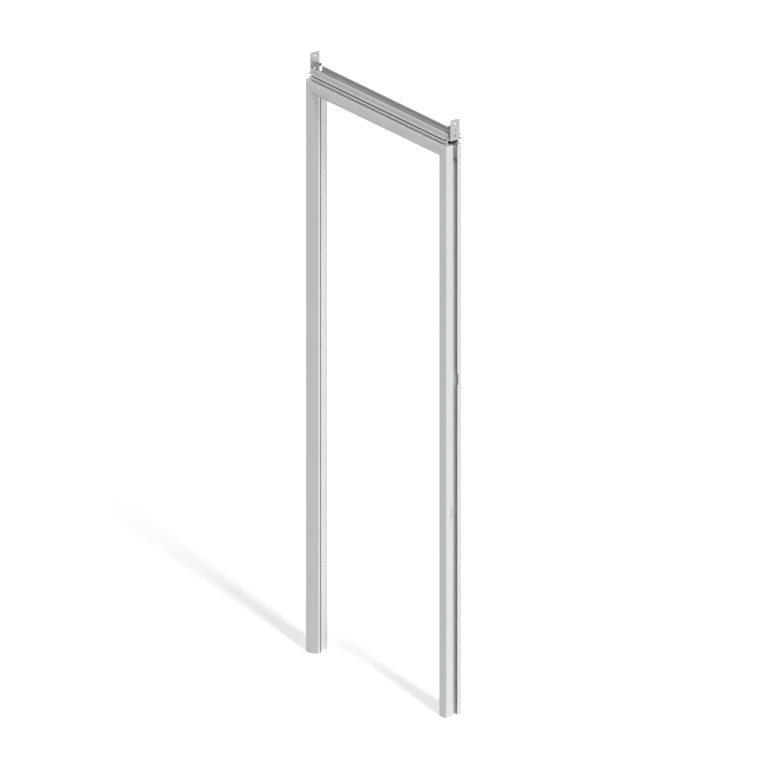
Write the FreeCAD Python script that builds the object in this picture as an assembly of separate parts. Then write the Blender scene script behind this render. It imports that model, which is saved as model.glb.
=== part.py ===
import FreeCAD, Part
import math
import os

# Door frame of extruded aluminium: two mitred jambs and a head with a curved front face, keyed together
# at the corners, with a rail on top of the head that two angle brackets carry between the walls.
# Millimetres. Every piece is built with the floor at z = 0, the left wall plane at x = 0 and the front
# edge of the casing at y = 0, and is moved at the end so that the origin lies on the left bracket.

V = FreeCAD.Vector

# Overall sizes
frame_width = 820.0
frame_height = 2100.0

# Extruded section shared by the jambs and the head.
# "Across" (p) runs from the wall plane to the opening, "depth" (q) from the front to the back.
metal = 2.0
face_width = 54.0
face_bulge = 6.5
face_bulge_at = 20.0
face_drop = 3.5
face_drop_at = 46.0
nose_corner_radius = 8.0
nose_depth = 22.0
fin_depth_wall = 16.0
fin_depth_web = 12.0
web_across = 15.0
channel_depth = 64.0
mouth_start = 28.0
mouth_end = 47.0
seam_depth = 16.0
seam_size = 0.8
drill_line_width = 1.2
drill_line_depth = 0.5
rear_start = 50.0
rear_end = 68.0
rear_across = 38.0
rear_corner_radius = 8.0
ledge_across = 36.0
ledge_end = 57.0

# Seal groove in the back of the nose, and the seal that is pressed into it
seal_across = 47.5
seal_chamber_width = 6.0
seal_chamber_depth = 4.0
seal_mouth = 3.2
seal_wall = 1.5
seal_clearance = 0.2
seal_bulb_radius = 3.6
seal_bulb_wall = 1.1

# Cover strip that snaps over the opening side's channel
strip_thickness = 2.0
strip_clearance = 0.4
strip_leg_length = 9.6
strip_leg_thickness = 1.4
strip_leg_gap = 0.4
strip_barb = 1.6
strip_barb_height = 2.4
strip_end_gap = 0.3
lip_across = 30.0
lip_thickness = 1.6
lip_reach = 2.4

# Rail on top of the head, the same to the front and to the back of its middle
rail_depth = 50.0
rail_height = 38.0
rail_wall = 3.0
rail_web_height = 13.0
rail_web = 2.5
rail_top_lip = 5.5
rail_flange = 6.5
rail_flange_thickness = 2.0
rail_guide_height = 6.0
rail_guide_clearance = 0.3
rail_fin_reach = 11.0
rail_fin_heights = (9.0, 25.0)
rail_fin_thickness = 2.0
rail_fin_lip = 3.4
rail_end_gap = 10.0

# Angle bracket
bracket_plate_height = 76.0
bracket_width = 38.0
bracket_thickness = 3.0
bracket_leg_length = 95.0
bracket_bend_radius = 2.5
bracket_corner_radius = 4.0
bracket_tip_length = 14.0
bracket_tip_inset = 7.0
bracket_rib_height = 1.0
bracket_rib_width = 2.0
bracket_rib_pitch = 6.0
bracket_rib_first = 9.0
bracket_rib_count = 12
bracket_rib_screw_gap = 1.0
plate_hole_spacing = 23.0
plate_hole_radius = 4.0
plate_cross_depth = 1.6
plate_cross_height = 17.0
plate_cross_width = 4.4
plate_line_length = 22.0
plate_line_width = 1.2
plate_dot_flats = 3.0

# Screws of the bracket
boss_radius = 5.0
boss_height = 3.0
jack_radius = 3.0
jack_length = 30.0
jack_head_radius = 6.5
jack_head_height = 4.2
cross_length = 5.4
cross_width = 1.3
cross_depth = 1.8
clamp_screw_radius = 3.0
clamp_head_flats = 10.0
clamp_head_height = 4.4
clamp_bottom_gap = 2.0
clamp_slot_length = 24.0
clamp_first = 24.0
clamp_spacing = 44.0
screw_clearance = 0.3
thread_clearance = 0.05

# Corner key that holds each mitre together
key_leg_length = 66.0
key_clearance = 0.3
key_corner_radius = 14.0
key_notch_width = 12.0
key_notch_length = 12.0
key_prong_radius = 5.0
key_window_length = 16.0
key_window_width = 7.0
key_window_inset = 11.5
key_window_place = 44.0
key_rib_depth = 1.2
key_rib_width = 1.6
key_rib_pitch = 3.2
key_rib_count = 4
key_rib_first = 50.0
key_screw_radius = 2.4
key_screw_length = 17.0
key_screw_drive_flats = 2.5
key_screw_drive_depth = 2.0
key_screw_place = 30.0
key_front_depth = 20.0

# Fixing holes in the webs, and pockets cut in the jambs
fixing_radius = 3.0
fixing_from_floor = 112.0
fixing_from_top = 102.0
latch_pocket_heights = (1018.0, 1341.0)
latch_pocket_size = 31.0
latch_pocket_start = 21.0
latch_pocket_width = 12.0
rear_lip_notch_height = 1236.0
rear_lip_notch_size = 42.0
rear_lip_notch_depth = 4.0
front_lip_slot_height = 753.0
front_lip_slot_size = 37.0
front_lip_slot_start = 18.5
front_lip_slot_width = 4.0

# Values that follow from the sizes above
reach = 4.0
overlap = 0.5
web_end = web_across + metal
channel_centre = (mouth_start + mouth_end) / 2
rail_middle = channel_centre
rail_start = bracket_thickness + rail_end_gap
rail_length = frame_width - 2 * rail_start
bracket_base = frame_height + rail_web_height + rail_web
bracket_centre_depth = rail_middle
plate_centre_height = bracket_base + bracket_plate_height / 2
origin_height = plate_centre_height + plate_hole_spacing / 2
fixing_heights = (fixing_from_floor, frame_height - fixing_from_top)
clamp_places = (clamp_first, clamp_first + clamp_spacing)
key_near = metal + key_clearance
key_rear_depth = channel_depth - metal - key_clearance


def rectangle(p0, p1, q0, q1):
    """A flat rectangle in the section's plane."""
    return polygon([(p0, q0), (p1, q0), (p1, q1), (p0, q1)])


def polygon(points):
    """A flat polygon in the section's plane."""
    corners = [V(p, q, 0) for p, q in points]
    return Part.Face(Part.makePolygon(corners + corners[:1]))


def joined(faces):
    """Flat faces in the section's plane, joined into one."""
    solids = [face.extrude(V(0, 0, 1)) for face in faces]
    whole = solids[0].fuse(solids[1:]).removeSplitter()
    bases = [face for face in whole.Faces if abs(face.CenterOfMass.z) < 1e-6]
    if len(bases) != 1:
        raise ValueError("the section isn't one piece")
    return bases[0]


def box(x0, x1, y0, y1, z0, z1):
    """A block between two corners."""
    return Part.makeBox(x1 - x0, y1 - y0, z1 - z0, V(x0, y0, z0))


def slot(centre_a, centre_b, radius):
    """A flat slot between two centres in the section's plane."""
    along = (centre_b - centre_a).normalize()
    side = V(-along.y, along.x, 0) * radius
    tip = along * radius
    edges = [
        Part.LineSegment(centre_a + side, centre_b + side).toShape(),
        Part.Arc(centre_b + side, centre_b + tip, centre_b - side).toShape(),
        Part.LineSegment(centre_b - side, centre_a - side).toShape(),
        Part.Arc(centre_a - side, centre_a - tip, centre_a + side).toShape(),
    ]
    return Part.Face(Part.Wire(edges))


def rounded_corner(p0, p1, q0, q1, radius):
    """A flat rectangle whose far corner, towards the opening and the back, is an arc."""
    turn = radius * math.sqrt(0.5)
    edges = [
        Part.LineSegment(V(p0, q0, 0), V(p1, q0, 0)).toShape(),
        Part.LineSegment(V(p1, q0, 0), V(p1, q1 - radius, 0)).toShape(),
        Part.Arc(
            V(p1, q1 - radius, 0),
            V(p1 - radius + turn, q1 - radius + turn, 0),
            V(p1 - radius, q1, 0),
        ).toShape(),
        Part.LineSegment(V(p1 - radius, q1, 0), V(p0, q1, 0)).toShape(),
        Part.LineSegment(V(p0, q1, 0), V(p0, q0, 0)).toShape(),
    ]
    return Part.Face(Part.Wire(edges))


# The curved casing
def face_circle():
    """Centre and radius of the arc of the curved front face."""
    circle = Part.Circle(V(0, 0, 0), V(face_bulge_at, -face_bulge, 0), V(face_drop_at, face_drop, 0))
    return circle.Center, circle.Radius


def on_face(across, inset):
    """The point of the front face's arc at a place across, moved in by inset."""
    centre, radius = face_circle()
    return V(across, centre.y - math.sqrt((radius - inset) ** 2 - (across - centre.x) ** 2), 0)


def casing_region(inset, across_start, depth_end):
    """The closed region behind the front face, back to depth_end."""
    centre, radius = face_circle()
    corner_reach = radius - nose_corner_radius
    corner_across = face_width - nose_corner_radius
    corner_drop = math.sqrt(corner_reach**2 - (corner_across - centre.x) ** 2)
    corner = V(corner_across, centre.y - corner_drop, 0)
    outward = (corner - centre).normalize()
    start = on_face(across_start, inset)
    tangent = centre + outward * (radius - inset)
    middle = on_face((across_start + tangent.x) / 2, inset)
    corner_radius = nose_corner_radius - inset
    corner_end = corner + V(corner_radius, 0, 0)
    corner_middle = corner + (outward + V(1, 0, 0)).normalize() * corner_radius
    reveal_end = V(face_width - inset, depth_end, 0)
    back = V(across_start, depth_end, 0)
    edges = [
        Part.Arc(start, middle, tangent).toShape(),
        Part.Arc(tangent, corner_middle, corner_end).toShape(),
        Part.LineSegment(corner_end, reveal_end).toShape(),
        Part.LineSegment(reveal_end, back).toShape(),
        Part.LineSegment(back, start).toShape(),
    ]
    return Part.Face(Part.Wire(edges))


def fin_at(across):
    """Depth of the fin's back at a place across."""
    return fin_depth_wall + (fin_depth_web - fin_depth_wall) * across / web_across


def wall_cell():
    """The closed cell between the front face, the wall side and the fin."""
    start = on_face(metal, metal)
    middle = on_face(web_across / 2, metal)
    end = on_face(web_across, metal)
    fin_end = V(web_across, fin_at(web_across) - metal, 0)
    fin_start = V(metal, fin_at(metal) - metal, 0)
    edges = [
        Part.Arc(start, middle, end).toShape(),
        Part.LineSegment(end, fin_end).toShape(),
        Part.LineSegment(fin_end, fin_start).toShape(),
        Part.LineSegment(fin_start, start).toShape(),
    ]
    return Part.Face(Part.Wire(edges))


def frame_section():
    """The whole extruded section, flat."""
    seal_back = nose_depth - metal
    seal_half = seal_chamber_width / 2
    seal_front = seal_back - seal_chamber_depth
    section = joined([
        casing_region(0, 0, nose_depth),
        rectangle(0, web_end, nose_depth - metal, channel_depth),
        rounded_corner(web_across, rear_across, rear_start, rear_end, rear_corner_radius),
    ])
    nose_cell = casing_region(metal, web_end, seal_back).cut(
        rectangle(seal_across - seal_half - seal_wall, face_width, seal_front - seal_wall, nose_depth)
    )
    rear_cell = joined([
        rectangle(web_end, ledge_across - metal, rear_start + metal, rear_end - metal - reach),
        rounded_corner(
            web_end, rear_across - metal, ledge_end + metal, rear_end - metal, rear_corner_radius - metal
        ),
    ])
    wall_channel = polygon([
        (metal, fin_at(metal)), (web_across, fin_at(web_across)),
        (web_across, channel_depth - metal), (metal, channel_depth - metal),
    ])
    openings = [
        wall_cell(), nose_cell, rear_cell, wall_channel,
        rectangle(-reach, metal + 0.1, mouth_start, mouth_end),
        rectangle(-reach, seam_size, seam_depth - seam_size / 2, seam_depth + seam_size / 2),
        rectangle(ledge_across, rear_across + reach, rear_start - reach, ledge_end),
        rectangle(seal_across - seal_half, seal_across + seal_half, seal_front, seal_back),
        rectangle(
            seal_across - seal_mouth / 2, seal_across + seal_mouth / 2, seal_back - 0.1, nose_depth + reach
        ),
    ]
    half = drill_line_width / 2
    for side, inward in ((web_across, drill_line_depth), (web_end, -drill_line_depth)):
        openings.append(
            polygon([
                (side - inward, channel_centre - half), (side, channel_centre - half),
                (side + inward, channel_centre), (side, channel_centre + half),
                (side - inward, channel_centre + half),
            ])
        )
    section = section.cut(openings).Faces[0]
    return joined([
        section,
        rectangle(lip_across, lip_across + lip_thickness, nose_depth - 0.5, nose_depth + lip_reach),
        rectangle(lip_across, lip_across + lip_thickness, rear_start - lip_reach, rear_start + 0.5),
    ])


# Lengths of section set upright as a jamb or level as a head
def mitre_waste(top):
    """Everything over the plane that falls at 45 degrees from the wall plane towards the opening."""
    low, high = -100.0, 200.0
    corners = [V(low, low, top - low), V(high, low, top - high), V(high, low, top - low)]
    return Part.Face(Part.makePolygon(corners + corners[:1])).extrude(V(0, high - low, 0))


def upright(section, top, mitred):
    """The left-hand piece of a section, standing on the floor."""
    solid = section.extrude(V(0, 0, top))
    return solid.cut(mitre_waste(top)) if mitred else solid


def level(section, start, length, mitred):
    """A length of section along x with its wall side up."""
    solid = section.extrude(V(0, 0, length))
    if mitred:
        wedge = mitre_waste(length)
        solid = solid.cut(wedge)
        solid = solid.cut(wedge.mirror(V(0, 0, length / 2), V(0, 0, 1)))
    solid.rotate(V(0, 0, 0), V(0, 1, 0), 90)
    solid.translate(V(start, 0, frame_height))
    return solid


def other_side(solid):
    """The mirror image of a piece on the right-hand side."""
    return solid.mirror(V(frame_width / 2, 0, 0), V(1, 0, 0))


# Jambs and head
def plain_jamb(section):
    """A jamb with the holes that both sides have."""
    jamb = upright(section, frame_height, True)
    for height in fixing_heights:
        start = V(web_across - 1, channel_centre, height)
        jamb = jamb.cut(Part.makeCylinder(fixing_radius, metal + 2, start, V(1, 0, 0)))
    start = V(web_across - 1, channel_centre, frame_height - key_screw_place)
    return jamb.cut(Part.makeCylinder(key_screw_radius + screw_clearance, metal + 2, start, V(1, 0, 0)))


def left_jamb(section):
    """The latch side, with two pockets in the front wall of its rear chamber."""
    jamb = plain_jamb(section)
    for height in latch_pocket_heights:
        low = height - latch_pocket_size / 2
        cutter = box(
            latch_pocket_start, latch_pocket_start + latch_pocket_width,
            rear_start - 1, rear_start + metal + 1, low, low + latch_pocket_size,
        )
        jamb = jamb.cut(cutter)
    return jamb


def right_jamb(section):
    """The hinge side, with a notch in its rear lip and a slot in its front lip."""
    jamb = plain_jamb(section)
    half = rear_lip_notch_size / 2
    notch = box(
        -1, metal + 0.2, mouth_end - 1, mouth_end + rear_lip_notch_depth,
        rear_lip_notch_height - half, rear_lip_notch_height + half,
    )
    half = (front_lip_slot_size - front_lip_slot_width) / 2
    middle = front_lip_slot_start + front_lip_slot_width / 2
    cutter = slot(V(0, -half, 0), V(0, half, 0), front_lip_slot_width / 2).extrude(V(0, 0, metal + 2))
    cutter.rotate(V(0, 0, 0), V(1, 0, 0), 90)
    cutter.rotate(V(0, 0, 0), V(0, 0, 1), 90)
    cutter.translate(V(-1, middle, front_lip_slot_height))
    return other_side(jamb.cut([notch, cutter]))


def head_profile(section):
    """The head, mitred at both ends, with the holes for the corner keys' screws."""
    head = level(section, 0, frame_width, True)
    for x in (key_screw_place, frame_width - key_screw_place):
        start = V(x, channel_centre, frame_height - web_end - 1)
        head = head.cut(Part.makeCylinder(key_screw_radius + screw_clearance, metal + 2, start))
    return head


# Seals and cover strips
def seal_section():
    """Foot, neck and hollow bulb of the door seal."""
    foot_back = nose_depth - metal
    foot_half = seal_chamber_width / 2 - seal_clearance
    neck_half = seal_mouth / 2 - seal_clearance
    bulb_centre = V(seal_across, nose_depth + seal_clearance + seal_bulb_radius, 0)
    foot = rectangle(
        seal_across - foot_half, seal_across + foot_half,
        foot_back - seal_chamber_depth + seal_clearance, foot_back,
    )
    neck = rectangle(seal_across - neck_half, seal_across + neck_half, foot_back - 0.5, bulb_centre.y)
    bulb = Part.Face(Part.Wire(Part.Circle(bulb_centre, V(0, 0, 1), seal_bulb_radius).toShape()))
    hollow_radius = seal_bulb_radius - seal_bulb_wall
    hollow = Part.Face(Part.Wire(Part.Circle(bulb_centre, V(0, 0, 1), hollow_radius).toShape()))
    return joined([foot, neck, bulb]).cut(hollow).Faces[0]


def strip_section():
    """Flat cover with two barbed legs."""
    front = nose_depth + strip_clearance
    back = ledge_end - strip_clearance
    leg_start = ledge_across - strip_leg_length
    barb_end = leg_start + strip_barb_height
    front_leg = nose_depth + lip_reach + strip_leg_gap
    back_leg = rear_start - lip_reach - strip_leg_gap
    pieces = [
        rectangle(leg_start, ledge_across + 0.5, front_leg, front_leg + strip_leg_thickness),
        rectangle(leg_start, ledge_across + 0.5, back_leg - strip_leg_thickness, back_leg),
        polygon([
            (leg_start, front_leg + 0.2), (leg_start, front_leg), (barb_end, front_leg - strip_barb),
            (barb_end, front_leg + 0.2),
        ]),
        polygon([
            (leg_start, back_leg - 0.2), (leg_start, back_leg), (barb_end, back_leg + strip_barb),
            (barb_end, back_leg - 0.2),
        ]),
    ]
    cover = rectangle(ledge_across, ledge_across + strip_thickness, front, back)
    return joined([cover] + pieces)


# Rail
def rail_section():
    """Two walls joined by a web, open above and below it, with two hooked fins on each side."""
    half = rail_depth / 2
    guide = bracket_width / 2 + rail_guide_clearance
    fin_end = half + rail_fin_reach
    hook = fin_end - rail_fin_thickness
    low_fin, high_fin = rail_fin_heights
    web_top = rail_web_height + rail_web
    one_side = [
        (half - rail_wall, half, 0, rail_height),
        (half - rail_top_lip, half, rail_height - rail_flange_thickness, rail_height),
        (half - rail_flange, half, 0, rail_flange_thickness),
        (guide, half, rail_web_height, web_top + rail_guide_height),
        (half - overlap, fin_end, low_fin, low_fin + rail_fin_thickness),
        (half - overlap, fin_end, high_fin, high_fin + rail_fin_thickness),
        (hook, fin_end, low_fin, low_fin + rail_fin_thickness + rail_fin_lip),
        (hook, fin_end, high_fin - rail_fin_lip, high_fin + rail_fin_thickness),
    ]
    pieces = [rectangle(rail_middle - half, rail_middle + half, rail_web_height, web_top)]
    for near, far, low, high in one_side:
        pieces.append(rectangle(rail_middle + near, rail_middle + far, low, high))
        pieces.append(rectangle(rail_middle - far, rail_middle - near, low, high))
    return joined(pieces)


def top_rail():
    """The rail along x, with a hole under each clamp screw."""
    section = rail_section()
    section.rotate(V(0, 0, 0), V(1, 0, 0), 90)
    section.rotate(V(0, 0, 0), V(0, 0, 1), 90)
    section.translate(V(rail_start, 0, frame_height))
    rail = section.extrude(V(rail_length, 0, 0))
    for place in clamp_places:
        for x in (place, frame_width - place):
            start = V(x, bracket_centre_depth, frame_height + rail_web_height - 1)
            rail = rail.cut(Part.makeCylinder(clamp_screw_radius + screw_clearance, rail_web + 2, start))
    return rail


# Brackets and their screws
def bracket_blank():
    """The bent plate, before its holes: upright part, leg with a narrower tip, rounded bend."""
    low = bracket_centre_depth - bracket_width / 2
    high = bracket_centre_depth + bracket_width / 2
    top = bracket_base + bracket_plate_height
    leg_end = bracket_thickness + bracket_leg_length
    tip = leg_end - bracket_tip_length
    plate = box(0, bracket_thickness, low, high, bracket_base, top)
    corners = []
    for edge in plate.Edges:
        place = edge.CenterOfMass
        if abs(place.z - top) < 1e-6 and abs(place.x - bracket_thickness / 2) < 1e-6:
            corners.append(edge)
    plate = plate.makeFillet(bracket_corner_radius, corners)
    leg = polygon([
        (0, low), (tip, low), (tip, low + bracket_tip_inset), (leg_end, low + bracket_tip_inset),
        (leg_end, high - bracket_tip_inset), (tip, high - bracket_tip_inset), (tip, high), (0, high),
    ])
    leg.translate(V(0, 0, bracket_base))
    solid = plate.fuse(leg.extrude(V(0, 0, bracket_thickness))).removeSplitter()
    bend = []
    for edge in solid.Edges:
        place = edge.CenterOfMass
        if abs(place.x - bracket_thickness) < 1e-6 and abs(place.z - bracket_base - bracket_thickness) < 1e-6:
            bend.append(edge)
    return solid.makeFillet(bracket_bend_radius, bend)


def leg_ribs(low, high, leg_top):
    """Ridges across the bracket's leg, left out round the clamp screws' heads and slots."""
    ribs = []
    tip = bracket_thickness + bracket_leg_length - bracket_tip_length
    clear = clamp_slot_length / 2 + bracket_rib_screw_gap
    gap = clamp_head_flats / math.sqrt(3) + bracket_rib_screw_gap
    for row in range(bracket_rib_count):
        start = bracket_rib_first + row * bracket_rib_pitch
        end = start + bracket_rib_width
        spans = [(low, high)]
        for place in clamp_places:
            if end > place - clear and start < place + clear:
                spans = [(low, bracket_centre_depth - gap), (bracket_centre_depth + gap, high)]
        if end > tip:
            spans = []
        for near, far in spans:
            ribs.append(box(start, end, near, far, leg_top - overlap, leg_top + bracket_rib_height))
    return ribs


def plate_cross():
    """The cross stamped into the plate's inner face round its upper hole: a short wide arm up and down, and a
    fine one from front to back with a punch mark at each end."""
    height = plate_centre_height + plate_hole_spacing
    near = bracket_thickness - plate_cross_depth
    far = bracket_thickness + 1
    middle = bracket_centre_depth
    arms = [(plate_cross_width, plate_cross_height), (plate_line_length, plate_line_width)]
    cutters = []
    for wide, high in arms:
        low = height - high / 2
        cutters.append(box(near, far, middle - wide / 2, middle + wide / 2, low, low + high))
    for depth in (middle - plate_line_length / 2, middle + plate_line_length / 2):
        cutters.append(hexagon(plate_dot_flats, V(near, depth, height), V(1, 0, 0), far - near))
    return cutters


def left_bracket():
    """Upright plate flush with the wall plane, and a ribbed leg that lies in the rail."""
    low = bracket_centre_depth - bracket_width / 2
    high = bracket_centre_depth + bracket_width / 2
    leg_top = bracket_base + bracket_thickness
    boss = Part.makeCylinder(
        boss_radius, boss_height + overlap,
        V(bracket_thickness - overlap, bracket_centre_depth, plate_centre_height), V(1, 0, 0),
    )
    solid = bracket_blank().fuse(leg_ribs(low, high, leg_top) + [boss]).removeSplitter()
    cutters = plate_cross()
    clearance = clamp_screw_radius + screw_clearance
    half = clamp_slot_length / 2 - clearance
    for place in clamp_places:
        start = V(place - half, bracket_centre_depth, 0)
        end = V(place + half, bracket_centre_depth, 0)
        flat = slot(start, end, clearance)
        flat.translate(V(0, 0, bracket_base - 1))
        cutters.append(flat.extrude(V(0, 0, bracket_thickness + 2)))
    for height in (plate_centre_height - plate_hole_spacing, plate_centre_height + plate_hole_spacing):
        start = V(-1, bracket_centre_depth, height)
        cutters.append(Part.makeCylinder(plate_hole_radius, bracket_thickness + 2, start, V(1, 0, 0)))
    cutters.append(
        Part.makeCylinder(
            jack_radius + thread_clearance, bracket_thickness + boss_height + 2,
            V(-1, bracket_centre_depth, plate_centre_height), V(1, 0, 0),
        )
    )
    return solid.cut(cutters)


def hexagon(flats, centre, direction, height):
    """A six-sided prism from centre along direction."""
    radius = flats / math.sqrt(3)
    turns = [math.pi / 3 * i for i in range(6)]
    prism = polygon([(radius * math.cos(turn), radius * math.sin(turn)) for turn in turns])
    prism = prism.extrude(V(0, 0, height))
    prism.Placement = FreeCAD.Placement(centre, FreeCAD.Rotation(V(0, 0, 1), direction))
    return prism


def cross_recess(centre, direction, side):
    """The cross cut into a screw's head at the centre of its face, with one arm along side."""
    other = direction.cross(side)
    arms = []
    for along, across in ((side, other), (other, side)):
        corner = centre - along * (cross_length / 2) - across * (cross_width / 2)
        edges = [corner, corner + along * cross_length]
        edges = edges + [edges[1] + across * cross_width, corner + across * cross_width]
        face = Part.Face(Part.makePolygon(edges + edges[:1]))
        arms.append(face.extrude(direction * cross_depth))
    return arms[0].fuse(arms[1])


def left_jack_screw():
    """A screw through the plate's tapped boss that sets the gap to the wall, its head on the open side."""
    centre = V(0, bracket_centre_depth, plate_centre_height)
    along = V(1, 0, 0)
    shank = Part.makeCylinder(jack_radius, jack_length, centre, along)
    head = Part.makeCylinder(jack_head_radius, jack_head_height, centre + along * jack_length, along)
    face = centre + along * (jack_length + jack_head_height)
    return shank.fuse(head).cut(cross_recess(face, along * -1, V(0, 0, 1))).removeSplitter()


def clamp_screw(place):
    """A hexagon-headed screw that clamps the bracket's leg down on the rail's web."""
    seat = V(place, bracket_centre_depth, bracket_base + bracket_thickness)
    bottom = V(place, bracket_centre_depth, frame_height + clamp_bottom_gap)
    shank = Part.makeCylinder(clamp_screw_radius, seat.z - bottom.z, bottom)
    return shank.fuse(hexagon(clamp_head_flats, seat, V(0, 0, 1), clamp_head_height)).removeSplitter()


# Corner keys
def key_leg_cutters():
    """What is cut from the leg that runs down the jamb: the notch between its prongs, its windows, its rib
    grooves. The leg's end is at the bottom."""
    end = frame_height - key_leg_length
    inner = web_across + 1
    outer = key_near - 1
    middle = (key_front_depth + key_rear_depth) / 2
    half = key_notch_width / 2
    notch_top = end + key_notch_length
    cutters = [
        box(outer, inner, middle - half, middle + half, end - 1, notch_top - half),
        Part.makeCylinder(half, inner - outer, V(outer, middle, notch_top - half), V(1, 0, 0)),
    ]
    low = frame_height - key_window_place - key_window_length / 2
    high = low + key_window_length
    half = key_window_width / 2
    for depth in (key_front_depth + key_window_inset / 2, key_rear_depth - key_window_inset / 2):
        cutters.append(box(outer, inner, depth - half, depth + half, low, high))
    for row in range(key_rib_count):
        height = frame_height - key_rib_first - row * key_rib_pitch
        cutters.append(
            box(
                outer, key_near + key_rib_depth, key_front_depth - 1, key_rear_depth + 1,
                height - key_rib_width, height,
            )
        )
    return cutters


def mirrored_in_mitre(solid):
    """The image of a piece of the jamb in the mitre plane, where the head has it."""
    return solid.mirror(V(0, 0, frame_height), V(1, 0, 1))


def key_screw_shank(gap):
    """The outline of the screw in the key's upright leg or, grown by a gap, the hole for it."""
    start = V(key_near, channel_centre, frame_height - key_screw_place)
    return Part.makeCylinder(key_screw_radius + gap, key_screw_length, start, V(1, 0, 0))


def jamb_key_screw():
    """A headless socket screw, tapped into the key's upright leg and through the jamb's web."""
    start = V(key_near - 1, channel_centre, frame_height - key_screw_place)
    drive = hexagon(key_screw_drive_flats, start, V(1, 0, 0), key_screw_drive_depth + 1)
    return key_screw_shank(0).cut(drive)


def left_corner_key():
    """An angle with two notched legs, one down the jamb and one along the head."""
    top = frame_height
    near = key_near
    far = web_across
    end = key_leg_length
    outline = [
        V(near, key_front_depth, top - end), V(far, key_front_depth, top - end),
        V(far, key_front_depth, top - far), V(end, key_front_depth, top - far),
        V(end, key_front_depth, top - near), V(near, key_front_depth, top - near),
    ]
    depth = key_rear_depth - key_front_depth
    key = Part.Face(Part.makePolygon(outline + outline[:1])).extrude(V(0, depth, 0))
    prongs = []
    for edge in key.Edges:
        place = edge.CenterOfMass
        across_leg = abs(place.y - key_front_depth) < 1e-6 or abs(place.y - key_rear_depth) < 1e-6
        if across_leg and abs(place.z - top + end) < 1e-6 and abs(place.x - (near + far) / 2) < 1e-6:
            prongs.append(edge)
        if across_leg and abs(place.x - end) < 1e-6 and abs(place.z - top + (near + far) / 2) < 1e-6:
            prongs.append(edge)
    key = key.makeFillet(key_prong_radius, prongs)
    corner = []
    for edge in key.Edges:
        place = edge.CenterOfMass
        if abs(place.x - near) < 1e-6 and abs(place.z - top + near) < 1e-6:
            corner.append(edge)
    key = key.makeFillet(key_corner_radius, corner)
    cutters = key_leg_cutters() + [key_screw_shank(thread_clearance)]
    return key.cut(cutters + [mirrored_in_mitre(cutter) for cutter in cutters])


def build():
    """Every piece by name."""
    section = frame_section()
    strip = strip_section()
    seal = seal_section()
    strip_top = frame_height - rear_across - strip_end_gap
    strip_end = rear_across + strip_end_gap
    parts = {
        "left_jamb": left_jamb(section),
        "right_jamb": right_jamb(section),
        "head_profile": head_profile(section),
        "top_rail": top_rail(),
        "left_cover_strip": upright(strip, strip_top, False),
        "head_cover_strip": level(strip, strip_end, frame_width - 2 * strip_end, False),
        "left_door_seal": upright(seal, frame_height, True),
        "head_door_seal": level(seal, 0, frame_width, True),
        "left_bracket": left_bracket(),
        "left_jack_screw": left_jack_screw(),
        "left_outer_clamp_screw": clamp_screw(clamp_places[0]),
        "left_inner_clamp_screw": clamp_screw(clamp_places[1]),
        "left_corner_key": left_corner_key(),
        "left_jamb_key_screw": jamb_key_screw(),
        "left_head_key_screw": mirrored_in_mitre(jamb_key_screw()),
    }
    for name in list(parts):
        right_name = name.replace("left_", "right_", 1)
        if name.startswith("left_") and right_name not in parts:
            parts[right_name] = other_side(parts[name])
    return parts


def main():
    os.makedirs("parts", exist_ok=True)
    origin = V(0, bracket_centre_depth, origin_height)
    for name, shape in sorted(build().items()):
        shape.translate(origin * -1)
        if not shape.isValid():
            raise ValueError(name + " isn't a valid solid")
        shape.exportStep("parts/" + name + ".step")
        size = shape.BoundBox
        print(name, len(shape.Solids), round(size.XLength, 2), round(size.YLength, 2), round(size.ZLength, 2))


main()
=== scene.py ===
import math

import bmesh
import bpy
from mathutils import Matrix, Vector


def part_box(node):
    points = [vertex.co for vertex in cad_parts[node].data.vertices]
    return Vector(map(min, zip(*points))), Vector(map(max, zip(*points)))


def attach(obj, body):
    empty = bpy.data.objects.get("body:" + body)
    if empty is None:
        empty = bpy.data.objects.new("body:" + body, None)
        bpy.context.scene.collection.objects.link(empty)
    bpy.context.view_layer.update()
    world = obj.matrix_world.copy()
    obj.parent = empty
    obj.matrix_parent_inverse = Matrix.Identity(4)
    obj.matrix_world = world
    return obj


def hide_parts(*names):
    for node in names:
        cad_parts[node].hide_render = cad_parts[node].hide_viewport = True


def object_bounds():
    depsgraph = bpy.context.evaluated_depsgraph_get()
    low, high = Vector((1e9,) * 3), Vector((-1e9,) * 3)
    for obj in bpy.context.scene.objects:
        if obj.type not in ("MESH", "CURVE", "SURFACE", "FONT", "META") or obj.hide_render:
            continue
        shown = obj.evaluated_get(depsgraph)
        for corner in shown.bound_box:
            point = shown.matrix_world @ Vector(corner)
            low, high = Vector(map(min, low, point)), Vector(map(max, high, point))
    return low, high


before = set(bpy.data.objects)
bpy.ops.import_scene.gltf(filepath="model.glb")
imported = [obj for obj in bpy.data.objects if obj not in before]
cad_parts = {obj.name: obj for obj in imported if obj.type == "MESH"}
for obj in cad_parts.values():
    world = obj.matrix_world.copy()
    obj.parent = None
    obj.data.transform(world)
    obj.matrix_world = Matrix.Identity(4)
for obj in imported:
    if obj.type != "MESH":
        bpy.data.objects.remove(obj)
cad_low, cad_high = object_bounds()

# Looks of an extruded aluminium door frame. Every CAD piece gets a finished copy with broken, lightly worn
# edges and a metal, rubber or casting of its own. The threads of the screws and the fine ribs of the brackets
# and keys are pieces of their own. Metres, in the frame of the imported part.

MM = 0.001
ALONG_X = Vector((1, 0, 0))
ALONG_Y = Vector((0, 1, 0))
ALONG_Z = Vector((0, 0, 1))
WHITE = (1, 1, 1, 1)

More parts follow.
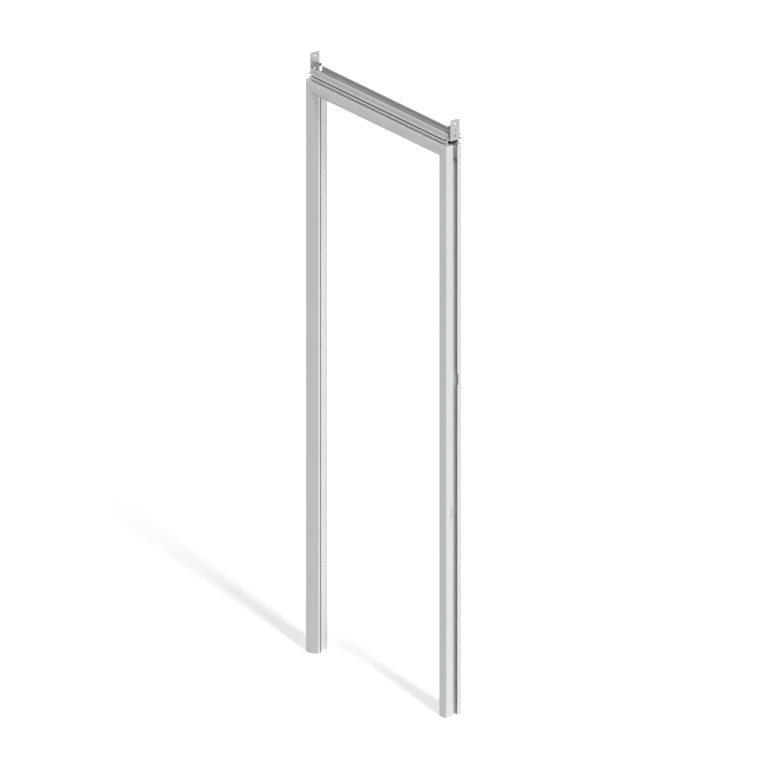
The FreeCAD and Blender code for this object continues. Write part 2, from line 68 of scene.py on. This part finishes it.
# View of the drawing, and where the camera stands on it
VIEW_AZIMUTH = math.radians(53.9)
VIEW_ELEVATION = math.radians(20.7)
PICTURE_PIXELS = 768
DRAWING_PIXELS_PER_MM = 0.291
CAMERA_DISTANCE = 8.0
CAMERA_NEAR = 0.1
CAMERA_FAR = 60.0

# Studio: a pale floor, light from all round, a key light and a broad fill light
FLOOR_HALF_WIDTH = 15.0
FLOOR_CELLS = 4
FLOOR_SHIFT = 0.4
FLOOR_COLOUR = 0.88
FLOOR_ROUGHNESS = 0.9
FLOOR_LIFT = 0.42
AMBIENT = 0.34
KEY_STRENGTH = 2.1
KEY_ANGLE = math.radians(8)
KEY_FROM = Vector((0.80, -0.12, 0.80))
FILL_STRENGTH = 0.5
FILL_ANGLE = math.radians(60)
FILL_FROM = Vector((-0.35, -0.85, 0.4))

# Colours of skins, and of the bare metal or rubber that shows where they are rubbed
BODY_COLOUR = (0.72, 0.725, 0.73)
# Painted shade: a darker copy of the body colour for the forward-facing casing faces, also the skin of the
# worn edges
SHADED_CASING_COLOUR = (0.475, 0.48, 0.485)
STRIP_COLOUR = (0.76, 0.76, 0.76)
RAIL_COLOUR = (0.55, 0.555, 0.56)
PLATE_COLOUR = (0.58, 0.585, 0.59)
SAWN_COLOUR = (0.66, 0.66, 0.66)
# Painted shade of a hairline gap, laid on the worn edges in the mitres where the jambs meet the head
MITRE_GAP_SHADE_COLOUR = (0.12, 0.12, 0.12)
SCREW_COLOUR = (0.26, 0.26, 0.27)
KEY_COLOUR = (0.30, 0.30, 0.305)
RUBBER_COLOUR = (0.022, 0.022, 0.023)
RUBBED_RUBBER = (0.05, 0.05, 0.05)
BARE_METAL = (0.86, 0.86, 0.87)

# Patterns in the skins: waves to the metre along a piece, the same across it, and levels of finer detail.
# The saw ran from front to back, and its marks are close together that way.
DIE_LINES = (6.0, 1100.0, 3.0)
DIE_BANDS = (1.5, 90.0, 2.0)
ANODISING_CLOUDS = (14.0, 14.0, 4.0)
SAW_MARKS = (2500.0, 60.0, 2.0)
ZINC_HAZE = (120.0, 120.0, 5.0)
CAST_GRAIN = (1400.0, 1400.0, 4.0)
CAST_FLOW = (70.0, 70.0, 3.0)
RUBBED_PATCHES = (9.0, 60.0, 5.0)
RUBBER_LINES = (8.0, 1600.0, 3.0)
NOISE_MIDDLE = (0.3, 0.7)

# How far each pattern darkens its skin
DIE_TONE = 0.08
SAW_TONE = 0.16
ZINC_TONE = 0.2
CAST_TONE = 0.35
RUBBER_TONE = 0.3

# How high each pattern stands, and how strongly that shows
DIE_RELIEF = (0.06 * MM, 0.25)
SAW_RELIEF = (0.08 * MM, 0.4)
ZINC_RELIEF = (0.05 * MM, 0.3)
CAST_RELIEF = (0.12 * MM, 0.5)
RUBBER_RELIEF = (0.05 * MM, 0.3)

# How metallic and how rough each skin is. A spread is how far its pattern moves the roughness either way.
ANODISED_METALLIC = 0.55
BODY_ROUGHNESS = 0.42
CASING_ROUGHNESS = 0.38
DIE_SPREAD = 0.05
SAWN_METALLIC = 0.6
SAWN_ROUGHNESS = 0.32
ZINC_SPREAD = 0.08
CAST_METALLIC = 0.6
CAST_ROUGHNESS = 0.55
RUBBER_ROUGHNESS = 0.58
RUBBED_ROUGHNESS = (0.48, 0.28)

# Points of the CAD mesh that are one, and triangles that are one flat face
WELD_DISTANCE = 0.001 * MM
FLAT_ANGLE = math.radians(0.3)

# Broken edges: the width of each, and how sharp an edge is that gets one
PROFILE_EDGE = 0.35 * MM
STRIP_EDGE = 0.2 * MM
SHEET_EDGE = 0.3 * MM
CASTING_EDGE = 0.6 * MM
SCREW_EDGE = 0.2 * MM
EDGE_STEPS = 2
BROKEN_EDGE_ANGLE = math.radians(35)
SMOOTH_ANGLE = math.radians(25)

# Places of the finishes on an extrusion, after that of its body, and on any other piece. The casing's finish
# is painted shade, and so is the finish of the mitre lines.
SHADED_CASING, SAWN_END, WORN_EDGE, MITRE_GAP_SHADE = range(1, 5)
SKIN, RUBBED = range(2)

# Faces of an extrusion: its ends face along it, and the curved front of the casing looks forward from the
# first part of its depth; that forward front gets painted shade. The line of a mitre is the worn edge that
# lies in the mitre's plane, painted dark as the shade of a hairline gap.
END_FACING = 0.6
CASING_FACING = -0.2
CASING_DEPTH = 21 * MM
MITRE_REACH = 0.6 * MM

# Rims of the screws: rounded on the jack screws' heads, chamfered on the clamp screws' heads and tips. The
# edges of a rim lie in its plane to within the reach, and further from its middle than the least distance.
JACK_RIM = 1.7 * MM
JACK_RIM_STEPS = 5
CLAMP_RIM = 0.8 * MM
CLAMP_RIM_STEPS = 2
CLAMP_TIP = 0.6 * MM
CLAMP_TIP_STEPS = 1
RIM_REACH = 0.05 * MM
HEAD_LEAST = 4.0 * MM
TIP_LEAST = 2.5 * MM

# Threads of the bracket's screws, a ridge wound on each shank with a narrow flat between its turns, and where
# it starts and ends from the screw's tip. On the jack screws it runs from the plate's boss to the head.
THREAD_PITCH = 1.25 * MM
THREAD_WIDTH = 7 / 8 * THREAD_PITCH
THREAD_HEIGHT = 0.28 * MM
THREAD_RADIUS = 3.0 * MM
THREAD_STEPS = 24
JACK_THREAD = (6.4 * MM, 29.6 * MM)
CLAMP_THREAD = (0.9 * MM, 16.2 * MM)

# Fine serrations of the brackets' legs, between the coarse ones. Places are from the wall, and the gap beside
# each clamp screw is from the leg's middle line.
RIB_FIRST = 12.3 * MM
RIB_PITCH = 6.0 * MM
RIB_COUNT = 12
RIB_WIDTH = 1.4 * MM
RIB_HEIGHT = 0.8 * MM
RIB_EDGE = 0.2 * MM
LEG_TOP = 3.0 * MM
SCREW_PLACES = (24.0 * MM, 68.0 * MM)
SCREW_CLEAR = 13.0 * MM
SCREW_GAP = 6.8 * MM

# Cast ribs across the outer side of the corner keys, where the profiles' mouths leave them in view
KEY_RIB_FIRST = 16.5 * MM
KEY_RIB_PITCH = 3.0 * MM
KEY_RIB_COUNT = 11
KEY_RIB_WIDTH = 1.2 * MM
KEY_RIB_HEIGHT = 0.7 * MM
KEY_RIB_NEAR = 9.6 * MM
KEY_RIB_FAR = 25.4 * MM
KEY_SCREW_PLACE = 27.7 * MM
KEY_SCREW_CLEAR = 4.4 * MM

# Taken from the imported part
head_low, head_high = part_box("head_profile")
nose_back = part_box("left_jamb")[0].y + CASING_DEPTH


# Shader building blocks
def new_material(name):
    """A material with a bare surface shader, to be given its colour and pattern."""
    material = bpy.data.materials.new(name)
    material.use_nodes = True
    tree = material.node_tree
    tree.nodes.clear()
    output = tree.nodes.new("ShaderNodeOutputMaterial")
    surface = tree.nodes.new("ShaderNodeBsdfPrincipled")
    tree.links.new(surface.outputs["BSDF"], output.inputs["Surface"])
    return material, tree, surface


def on_piece(tree, scale):
    """Places on the piece itself, from its own coordinates."""
    place = tree.nodes.new("ShaderNodeTexCoord")
    mapping = tree.nodes.new("ShaderNodeMapping")
    mapping.inputs["Scale"].default_value = scale
    tree.links.new(place.outputs["Object"], mapping.inputs["Vector"])
    return mapping.outputs["Vector"]


def noise(tree, pattern, along=ALONG_Z):
    """A pattern of noise, drawn out along a piece."""
    lengthwise, across, detail = pattern
    texture = tree.nodes.new("ShaderNodeTexNoise")
    texture.inputs["Scale"].default_value = 1.0
    texture.inputs["Detail"].default_value = detail
    scale = [lengthwise if axis else across for axis in along]
    tree.links.new(on_piece(tree, scale), texture.inputs["Vector"])
    return texture.outputs["Fac"]


def spread(tree, value, low=0.0, high=1.0):
    """Stretches the middle of a noise to run from low to high."""
    ramp = tree.nodes.new("ShaderNodeMapRange")
    ramp.inputs["From Min"].default_value = NOISE_MIDDLE[0]
    ramp.inputs["From Max"].default_value = NOISE_MIDDLE[1]
    ramp.inputs["To Min"].default_value = low
    ramp.inputs["To Max"].default_value = high
    tree.links.new(value, ramp.inputs["Value"])
    return ramp.outputs["Result"]


def worked_out(tree, operation, first):
    """A step of arithmetic on a value, whose second input is still open."""
    step = tree.nodes.new("ShaderNodeMath")
    step.operation = operation
    tree.links.new(first, step.inputs[0])
    return step


def paired(tree, operation, first, second):
    """A step of arithmetic on two values."""
    step = worked_out(tree, operation, first)
    tree.links.new(second, step.inputs[1])
    return step.outputs[0]


def multiplied(tree, value, factor):
    """A value times a plain number."""
    step = worked_out(tree, "MULTIPLY", value)
    step.inputs[1].default_value = factor
    return step.outputs[0]


def averaged(tree, first, second):
    """The middle between two values."""
    return multiplied(tree, paired(tree, "ADD", first, second), 0.5)


def any_ray(tree, kinds):
    """One for rays of these kinds, and nothing for all others."""
    rays = tree.nodes.new("ShaderNodeLightPath")
    found = rays.outputs[kinds[0]]
    for kind in kinds[1:]:
        found = paired(tree, "MAXIMUM", found, rays.outputs[kind])
    return found


def coloured(tree, surface, value, first, second):
    """Base colour that a pattern takes from one colour to another."""
    mix = tree.nodes.new("ShaderNodeMix")
    mix.data_type = "RGBA"
    mix.inputs["A"].default_value = (*first, 1)
    mix.inputs["B"].default_value = (*second, 1)
    tree.links.new(value, mix.inputs["Factor"])
    tree.links.new(mix.outputs["Result"], surface.inputs["Base Color"])


def tinted(tree, surface, value, colour, depth):
    """Base colour that a pattern darkens by up to depth."""
    darker = [part * (1 - depth) for part in colour]
    coloured(tree, surface, value, darker, colour)


def rough_by(tree, surface, value, roughness, either_way):
    """Roughness that a pattern moves either way."""
    moved = spread(tree, value, roughness - either_way, roughness + either_way)
    tree.links.new(moved, surface.inputs["Roughness"])


def raised(tree, surface, value, relief):
    """Fine relief that a pattern gives the surface."""
    height, strength = relief
    bump = tree.nodes.new("ShaderNodeBump")
    bump.inputs["Distance"].default_value = height
    bump.inputs["Strength"].default_value = strength
    tree.links.new(value, bump.inputs["Height"])
    tree.links.new(bump.outputs["Normal"], surface.inputs["Normal"])


# Finishes
def extruded_finish(name, colour, along, roughness):
    """Anodised extrusion: fine die lines along its length over faint clouds in the anodising."""
    material, tree, surface = new_material(name)
    lines = noise(tree, DIE_LINES, along)
    bands = noise(tree, DIE_BANDS, along)
    clouds = noise(tree, ANODISING_CLOUDS)
    pattern = averaged(tree, spread(tree, lines), spread(tree, averaged(tree, bands, clouds)))
    tinted(tree, surface, pattern, colour, DIE_TONE)
    surface.inputs["Metallic"].default_value = ANODISED_METALLIC
    rough_by(tree, surface, lines, roughness, DIE_SPREAD)
    raised(tree, surface, lines, DIE_RELIEF)
    return material


def sawn_finish(name, colour):
    """A cut end with the straight marks of the saw."""
    material, tree, surface = new_material(name)
    marks = noise(tree, SAW_MARKS, ALONG_Y)
    tinted(tree, surface, spread(tree, marks), colour, SAW_TONE)
    surface.inputs["Metallic"].default_value = SAWN_METALLIC
    surface.inputs["Roughness"].default_value = SAWN_ROUGHNESS
    raised(tree, surface, marks, SAW_RELIEF)
    return material


def zinc_finish(name, colour, grain, metallic, roughness):
    """Zinc-plated steel: a fine spangle and a rolled surface."""
    material, tree, surface = new_material(name)
    cells = tree.nodes.new("ShaderNodeTexVoronoi")
    cells.inputs["Scale"].default_value = 1.0
    tree.links.new(on_piece(tree, (grain, grain, grain)), cells.inputs["Vector"])
    grey = tree.nodes.new("ShaderNodeSeparateColor")
    tree.links.new(cells.outputs["Color"], grey.inputs["Color"])
    haze = noise(tree, ZINC_HAZE)
    tinted(tree, surface, averaged(tree, grey.outputs["Red"], spread(tree, haze)), colour, ZINC_TONE)
    surface.inputs["Metallic"].default_value = metallic
    rough_by(tree, surface, haze, roughness, ZINC_SPREAD)
    raised(tree, surface, haze, ZINC_RELIEF)
    return material


def cast_finish(name, colour):
    """Die casting: a dull skin with a fine grain."""
    material, tree, surface = new_material(name)
    grain = noise(tree, CAST_GRAIN)
    flow = noise(tree, CAST_FLOW)
    tinted(tree, surface, averaged(tree, spread(tree, grain), spread(tree, flow)), colour, CAST_TONE)
    surface.inputs["Metallic"].default_value = CAST_METALLIC
    surface.inputs["Roughness"].default_value = CAST_ROUGHNESS
    raised(tree, surface, grain, CAST_RELIEF)
    return material


def worn_finish(name, skin, bare, along, metallic):
    """A broken edge where handling has rubbed the skin bright in places; on the mitre lines the skin is
    painted shade.
    """
    material, tree, surface = new_material(name)
    patches = noise(tree, RUBBED_PATCHES, along)
    coloured(tree, surface, spread(tree, patches), skin, bare)
    surface.inputs["Metallic"].default_value = metallic
    tree.links.new(spread(tree, patches, *RUBBED_ROUGHNESS), surface.inputs["Roughness"])
    return material


def rubber_finish(name, along):
    """Black extruded rubber with faint lines along its length."""
    material, tree, surface = new_material(name)
    lines = noise(tree, RUBBER_LINES, along)
    tinted(tree, surface, spread(tree, lines), RUBBER_COLOUR, RUBBER_TONE)
    surface.inputs["Roughness"].default_value = RUBBER_ROUGHNESS
    raised(tree, surface, lines, RUBBER_RELIEF)
    return material


# Making pieces
def in_scene(name, data):
    """An object in the scene, with this mesh, lamp or camera."""
    thing = bpy.data.objects.new(name, data)
    bpy.context.scene.collection.objects.link(thing)
    return thing


def as_object(name, mesh):
    """A finished mesh as an object in the scene."""
    data = bpy.data.meshes.new(name)
    mesh.to_mesh(data)
    mesh.free()
    return in_scene(name, data)


def shade(mesh):
    """Shades the faces smooth, with a crease wherever two meet at more than a slight angle."""
    for face in mesh.faces:
        face.smooth = True
    for edge in mesh.edges:
        edge.smooth = len(edge.link_faces) == 2 and edge.calc_face_angle() < SMOOTH_ANGLE


def add_piece(name, mesh, finishes):
    """Makes a mesh a piece of the frame with these finishes, hung on the root."""
    shade(mesh)
    piece = as_object(name, mesh)
    for finish in finishes:
        piece.data.materials.append(finish)
    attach(piece, "root")
    return piece


def replace_node(node, mesh, finishes):
    """Makes the finished mesh the piece that stands for a CAD node."""
    piece = add_piece(node + "_finished", mesh, finishes)
    normals = piece.modifiers.new("even_faces", "WEIGHTED_NORMAL")
    normals.keep_sharp = True
    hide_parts(node)


def merged_copy(node):
    """The CAD node's mesh as joined flat faces."""
    mesh = bmesh.new()
    mesh.from_mesh(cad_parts[node].data)
    bmesh.ops.remove_doubles(mesh, verts=mesh.verts, dist=WELD_DISTANCE)
    bmesh.ops.dissolve_limit(
        mesh, angle_limit=FLAT_ANGLE, use_dissolve_boundaries=False, verts=mesh.verts, edges=mesh.edges,
    )
    return mesh


def bevelled(mesh, edges, width, steps, finish=SKIN, clamped=True):
    """Takes off edges in a number of steps, and gives the new faces their finish."""
    made = bmesh.ops.bevel(
        mesh, geom=edges, offset=width, offset_type="OFFSET", affect="EDGES", segments=steps, profile=0.5,
        clamp_overlap=clamped, material=-1,
    )
    for face in made["faces"]:
        face.material_index = finish


def break_edges(mesh, width, finish):
    """Takes the sharpness off every edge."""
    sharp = []
    for edge in mesh.edges:
        if len(edge.link_faces) == 2 and edge.calc_face_angle() > BROKEN_EDGE_ANGLE:
            sharp.append(edge)
    bevelled(mesh, sharp, width, EDGE_STEPS, finish)


def finish_plain(node, skin, rubbed, edge):
    """A piece of one finish, rubbed at its edges."""
    mesh = merged_copy(node)
    break_edges(mesh, edge, RUBBED)
    replace_node(node, mesh, [skin, rubbed])


def wall_side(side, low, high):
    """Where a box of one side is nearest the wall, and which way leads from there into the doorway."""
    return (low.x, 1) if side == "left" else (high.x, -1)


# Extrusions
def on_mitre(place):
    """Whether a place lies in one of the two planes where the jambs meet the head."""
    drop = head_high.z - place.z
    return min(abs(place.x - head_low.x - drop), abs(head_high.x - place.x - drop)) < MITRE_REACH


def finish_profile(node, along, finishes, edge):
    """An extrusion: its body, its sawn ends, its worn edges, and its casing face and mitre lines in painted
    shade.
    """
    mesh = merged_copy(node)
    # The casing faces that look forward get the casing's painted shade
    for face in mesh.faces:
        if abs(face.normal.dot(along)) > END_FACING:
            face.material_index = SAWN_END
        elif face.normal.y < CASING_FACING and face.calc_center_median().y < nose_back:
            face.material_index = SHADED_CASING
    break_edges(mesh, edge, WORN_EDGE)
    # Worn edges in a mitre's plane take the painted shade of a hairline gap
    for face in mesh.faces:
        if face.material_index == WORN_EDGE and on_mitre(face.calc_center_median()):
            face.material_index = MITRE_GAP_SHADE
    replace_node(node, mesh, finishes)


# Screws
def take_off_rim(mesh, middle, along, least, width, steps, finish):
    """Rounds or chamfers the rim round the middle of a screw's end."""
    rim = []
    for edge in mesh.edges:
        places = [vertex.co - middle for vertex in edge.verts]
        if all(abs(place.dot(along)) < RIM_REACH and place.length > least for place in places):
            rim.append(edge)
    bevelled(mesh, rim, width, steps, finish, clamped=False)


def wind_thread(node, tip, along, reach, finish):
    """A ridge wound round a screw's shank, between two places from its tip.

    The ridge is nearly a pitch wide, so it is wound until a pitch before the end. Both of its ends are
    closed.
    """
    start, end = reach
    outward = ALONG_Z if along.x else ALONG_Y
    steps = round(((end - start) / THREAD_PITCH - 1) * THREAD_STEPS)
    root = THREAD_RADIUS - THREAD_HEIGHT / 2
    crest = THREAD_RADIUS + THREAD_HEIGHT
    mesh = bmesh.new()
    ridge = []
    for place, radius in ((0, root), (THREAD_WIDTH / 2, crest), (THREAD_WIDTH, root)):
        ridge.append(mesh.verts.new(tip + along * (start + place) + outward * radius))
    edges = [mesh.edges.new((corner, ridge[index - 1])) for index, corner in enumerate(ridge)]
    bmesh.ops.spin(
        mesh, geom=ridge + edges, cent=tip, axis=along, dvec=along * THREAD_PITCH / THREAD_STEPS,
        angle=2 * math.pi * steps / THREAD_STEPS, steps=steps, use_duplicate=False,
    )
    bmesh.ops.holes_fill(mesh, edges=mesh.edges, sides=len(ridge))
    bmesh.ops.recalc_face_normals(mesh, faces=mesh.faces)
    add_piece(node + "_thread", mesh, [finish])


def finish_jack_screw(side, skin, rubbed):
    """The jack screw with its head's rim rounded over."""
    node = side + "_jack_screw"
    low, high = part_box(node)
    middle = (low + high) / 2
    wall, inward = wall_side(side, low, high)
    tip = Vector((wall, middle.y, middle.z))
    head = 2 * middle - tip
    mesh = merged_copy(node)
    take_off_rim(mesh, head, ALONG_X, HEAD_LEAST, JACK_RIM, JACK_RIM_STEPS, SKIN)
    break_edges(mesh, SCREW_EDGE, RUBBED)
    replace_node(node, mesh, [skin, rubbed])
    wind_thread(node, tip, inward * ALONG_X, JACK_THREAD, skin)


def finish_clamp_screw(node, skin, rubbed):
    """The clamp screw with the corners of its hexagon head turned off at the top, and its tip chamfered."""
    low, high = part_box(node)
    middle = (low + high) / 2
    tip = Vector((middle.x, middle.y, low.z))
    head = Vector((middle.x, middle.y, high.z))
    mesh = merged_copy(node)
    take_off_rim(mesh, head, ALONG_Z, HEAD_LEAST, CLAMP_RIM, CLAMP_RIM_STEPS, RUBBED)
    take_off_rim(mesh, tip, ALONG_Z, TIP_LEAST, CLAMP_TIP, CLAMP_TIP_STEPS, SKIN)
    break_edges(mesh, SCREW_EDGE, RUBBED)
    replace_node(node, mesh, [skin, rubbed])
    wind_thread(node, tip, ALONG_Z, CLAMP_THREAD, skin)


# Ribs
def add_bar(mesh, corner, opposite):
    """A block between two opposite corners."""
    low = Vector([min(pair) for pair in zip(corner, opposite)])
    high = Vector([max(pair) for pair in zip(corner, opposite)])
    block = bmesh.ops.create_cube(mesh, size=1)["verts"]
    bmesh.ops.scale(mesh, verts=block, vec=high - low)
    bmesh.ops.translate(mesh, verts=block, vec=(high + low) / 2)


def place_ribs(name, mesh, finish):
    """Breaks the ribs' edges and makes them a piece that lies on a CAD node."""
    bevelled(mesh, mesh.edges[:], RIB_EDGE, EDGE_STEPS)
    bmesh.ops.recalc_face_normals(mesh, faces=mesh.faces)
    add_piece(name, mesh, [finish])


def key_ribs(side, finish):
    """Ribs across both legs of the corner key, clear of its screws."""
    node = side + "_corner_key"
    low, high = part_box(node)
    near, far = low.y + KEY_RIB_NEAR, low.y + KEY_RIB_FAR
    wall, inward = wall_side(side, low, high)
    proud = inward * KEY_RIB_HEIGHT
    mesh = bmesh.new()
    for row in range(KEY_RIB_COUNT):
        start = KEY_RIB_FIRST + row * KEY_RIB_PITCH
        end = start + KEY_RIB_WIDTH
        if end > KEY_SCREW_PLACE - KEY_SCREW_CLEAR and start < KEY_SCREW_PLACE + KEY_SCREW_CLEAR:
            continue
        add_bar(mesh, (wall - proud, near, high.z - end), (wall + proud, far, high.z - start))
        add_bar(
            mesh, (wall + inward * start, near, high.z - KEY_RIB_HEIGHT),
            (wall + inward * end, far, high.z + KEY_RIB_HEIGHT),
        )
    place_ribs(side + "_key_ribs", mesh, finish)


def fine_ribs(side, finish):
    """Fine serrations across the bracket's leg, between the coarse ones and clear of the clamp screws."""
    node = side + "_bracket"
    low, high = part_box(node)
    wall, inward = wall_side(side, low, high)
    middle = (low.y + high.y) / 2
    half = (high.y - low.y) / 2
    top = low.z + LEG_TOP
    mesh = bmesh.new()
    for row in range(RIB_COUNT):
        start = RIB_FIRST + row * RIB_PITCH
        end = start + RIB_WIDTH
        spans = [(-half, half)]
        for place in SCREW_PLACES:
            if end > place - SCREW_CLEAR and start < place + SCREW_CLEAR:
                spans = [(-half, -SCREW_GAP), (SCREW_GAP, half)]
        for near, far in spans:
            add_bar(
                mesh, (wall + inward * start, middle + near, top - RIB_HEIGHT),
                (wall + inward * end, middle + far, top + RIB_HEIGHT),
            )
    place_ribs(side + "_fine_ribs", mesh, finish)


# The whole frame
def profile_metals(name, colour, casing, along, sawn, mitre_gap_shade):
    """The finishes of one extrusion, in their order on it."""
    return [
        extruded_finish("anodised_" + name, colour, along, BODY_ROUGHNESS),
        # The casing's copy of the metal takes the casing colour, which is painted shade on the jambs and the
        # head
        extruded_finish("anodised_" + name + "_casing", casing, along, CASING_ROUGHNESS),
        sawn,
        worn_finish("worn_" + name, casing, BARE_METAL, along, metallic=0.7),
        # The painted shade of the mitre lines
        mitre_gap_shade,
    ]


def finish_seal(place, along):
    """The door seal of a jamb or of the head, in rubber that runs along it."""
    rubber = rubber_finish(place + "_rubber", along)
    rubbed = worn_finish(place + "_rubbed_rubber", RUBBER_COLOUR, RUBBED_RUBBER, along, metallic=0.0)
    finish_plain(place + "_door_seal", rubber, rubbed, STRIP_EDGE)


def dress_frame():
    """Makes the finishes, then the pieces of both sides, then those that span the head."""
    sawn = sawn_finish("sawn_aluminium", SAWN_COLOUR)
    # Painted shade of a hairline gap on the mitre lines, with patches of the casing's shaded tone
    mitre_gap_shade = worn_finish("painted_mitre_shade", MITRE_GAP_SHADE_COLOUR, SHADED_CASING_COLOUR, ALONG_Y, metallic=0.3)
    # The jambs' and head's forward casing faces take the darker casing colour as painted shade
    upright_metals = profile_metals("jamb", BODY_COLOUR, SHADED_CASING_COLOUR, ALONG_Z, sawn, mitre_gap_shade)
    level_metals = profile_metals("head", BODY_COLOUR, SHADED_CASING_COLOUR, ALONG_X, sawn, mitre_gap_shade)
    rail_metals = profile_metals("rail", RAIL_COLOUR, RAIL_COLOUR, ALONG_X, sawn, mitre_gap_shade)
    upright_strip = profile_metals("jamb_strip", STRIP_COLOUR, STRIP_COLOUR, ALONG_Z, sawn, mitre_gap_shade)
    level_strip = profile_metals("head_strip", STRIP_COLOUR, STRIP_COLOUR, ALONG_X, sawn, mitre_gap_shade)
    zinc = zinc_finish("zinc_plate", PLATE_COLOUR, grain=220.0, metallic=0.6, roughness=0.4)
    worn_zinc = worn_finish("worn_zinc", PLATE_COLOUR, BARE_METAL, ALONG_Z, metallic=0.8)
    screw_zinc = zinc_finish("zinc_screw", SCREW_COLOUR, grain=900.0, metallic=0.8, roughness=0.35)
    worn_screw = worn_finish("worn_screw", SCREW_COLOUR, PLATE_COLOUR, ALONG_Z, metallic=0.85)
    casting = cast_finish("cast_key", KEY_COLOUR)
    worn_casting = worn_finish("worn_key", KEY_COLOUR, BARE_METAL, ALONG_Z, metallic=0.7)
    for side in ("left", "right"):
        finish_profile(side + "_jamb", ALONG_Z, upright_metals, PROFILE_EDGE)
        finish_profile(side + "_cover_strip", ALONG_Z, upright_strip, STRIP_EDGE)
        finish_seal(side, ALONG_Z)
        finish_plain(side + "_bracket", zinc, worn_zinc, SHEET_EDGE)
        finish_jack_screw(side, screw_zinc, worn_screw)
        fine_ribs(side, zinc)
        finish_plain(side + "_corner_key", casting, worn_casting, CASTING_EDGE)
        key_ribs(side, casting)
        for name in ("_jamb_key_screw", "_head_key_screw"):
            finish_plain(side + name, screw_zinc, worn_screw, SCREW_EDGE)
        for name in ("_outer_clamp_screw", "_inner_clamp_screw"):
            finish_clamp_screw(side + name, screw_zinc, worn_screw)
    finish_profile("head_profile", ALONG_X, level_metals, PROFILE_EDGE)
    finish_profile("head_cover_strip", ALONG_X, level_strip, STRIP_EDGE)
    finish_seal("head", ALONG_X)
    finish_profile("top_rail", ALONG_X, rail_metals, PROFILE_EDGE)


# Studio
def make_floor():
    """A floor that the camera and reflections see as white, and that keeps the frame's shadow."""
    mesh = bmesh.new()
    bmesh.ops.create_grid(mesh, x_segments=FLOOR_CELLS, y_segments=FLOOR_CELLS, size=FLOOR_HALF_WIDTH)
    bmesh.ops.translate(mesh, verts=mesh.verts, vec=(FLOOR_SHIFT, 0, cad_low.z))
    floor = as_object("floor", mesh)
    material, tree, surface = new_material("pale_floor")
    surface.inputs["Base Color"].default_value = (FLOOR_COLOUR, FLOOR_COLOUR, FLOOR_COLOUR, 1)
    surface.inputs["Roughness"].default_value = FLOOR_ROUGHNESS
    surface.inputs["Emission Color"].default_value = WHITE
    seen = any_ray(tree, ("Is Camera Ray", "Is Glossy Ray"))
    tree.links.new(multiplied(tree, seen, FLOOR_LIFT), surface.inputs["Emission Strength"])
    floor.data.materials.append(material)


def make_world():
    """White where it is seen or reflected, and soft even light on the frame."""
    world = bpy.data.worlds.new("studio")
    bpy.context.scene.world = world
    world.use_nodes = True
    tree = world.node_tree
    background = tree.nodes["Background"]
    background.inputs["Color"].default_value = WHITE
    strength = tree.nodes.new("ShaderNodeMapRange")
    strength.inputs["To Min"].default_value = AMBIENT
    strength.inputs["To Max"].default_value = 1.0
    seen = any_ray(tree, ("Is Camera Ray", "Is Glossy Ray", "Is Transmission Ray"))
    tree.links.new(seen, strength.inputs["Value"])
    tree.links.new(strength.outputs["Result"], background.inputs["Strength"])


def make_sun(name, strength, angle, place):
    """Even light that falls from a place towards the middle."""
    lamp = bpy.data.lights.new(name, "SUN")
    lamp.energy = strength
    lamp.angle = angle
    sun = in_scene(name, lamp)
    sun.rotation_mode = "QUATERNION"
    sun.rotation_quaternion = place.to_track_quat("Z", "Y")


def make_camera():
    """Parallel view from the drawing's direction, at the drawing's scale, with the frame in the middle."""
    back = Vector((
        math.sin(VIEW_AZIMUTH) * math.cos(VIEW_ELEVATION),
        -math.cos(VIEW_AZIMUTH) * math.cos(VIEW_ELEVATION),
        math.sin(VIEW_ELEVATION),
    ))
    data = bpy.data.cameras.new("camera")
    data.type = "ORTHO"
    data.ortho_scale = PICTURE_PIXELS / DRAWING_PIXELS_PER_MM * MM
    data.clip_start = CAMERA_NEAR
    data.clip_end = CAMERA_FAR
    camera = in_scene("camera", data)
    camera.rotation_mode = "QUATERNION"
    camera.rotation_quaternion = (-back).to_track_quat("-Z", "Y")
    camera.location = (cad_low + cad_high) / 2 + back * CAMERA_DISTANCE
    bpy.context.scene.camera = camera


dress_frame()
make_floor()
make_world()
make_sun("key_light", KEY_STRENGTH, KEY_ANGLE, KEY_FROM)
make_sun("fill_light", FILL_STRENGTH, FILL_ANGLE, FILL_FROM)
make_camera()
bpy.context.scene.view_settings.view_transform = "Standard"
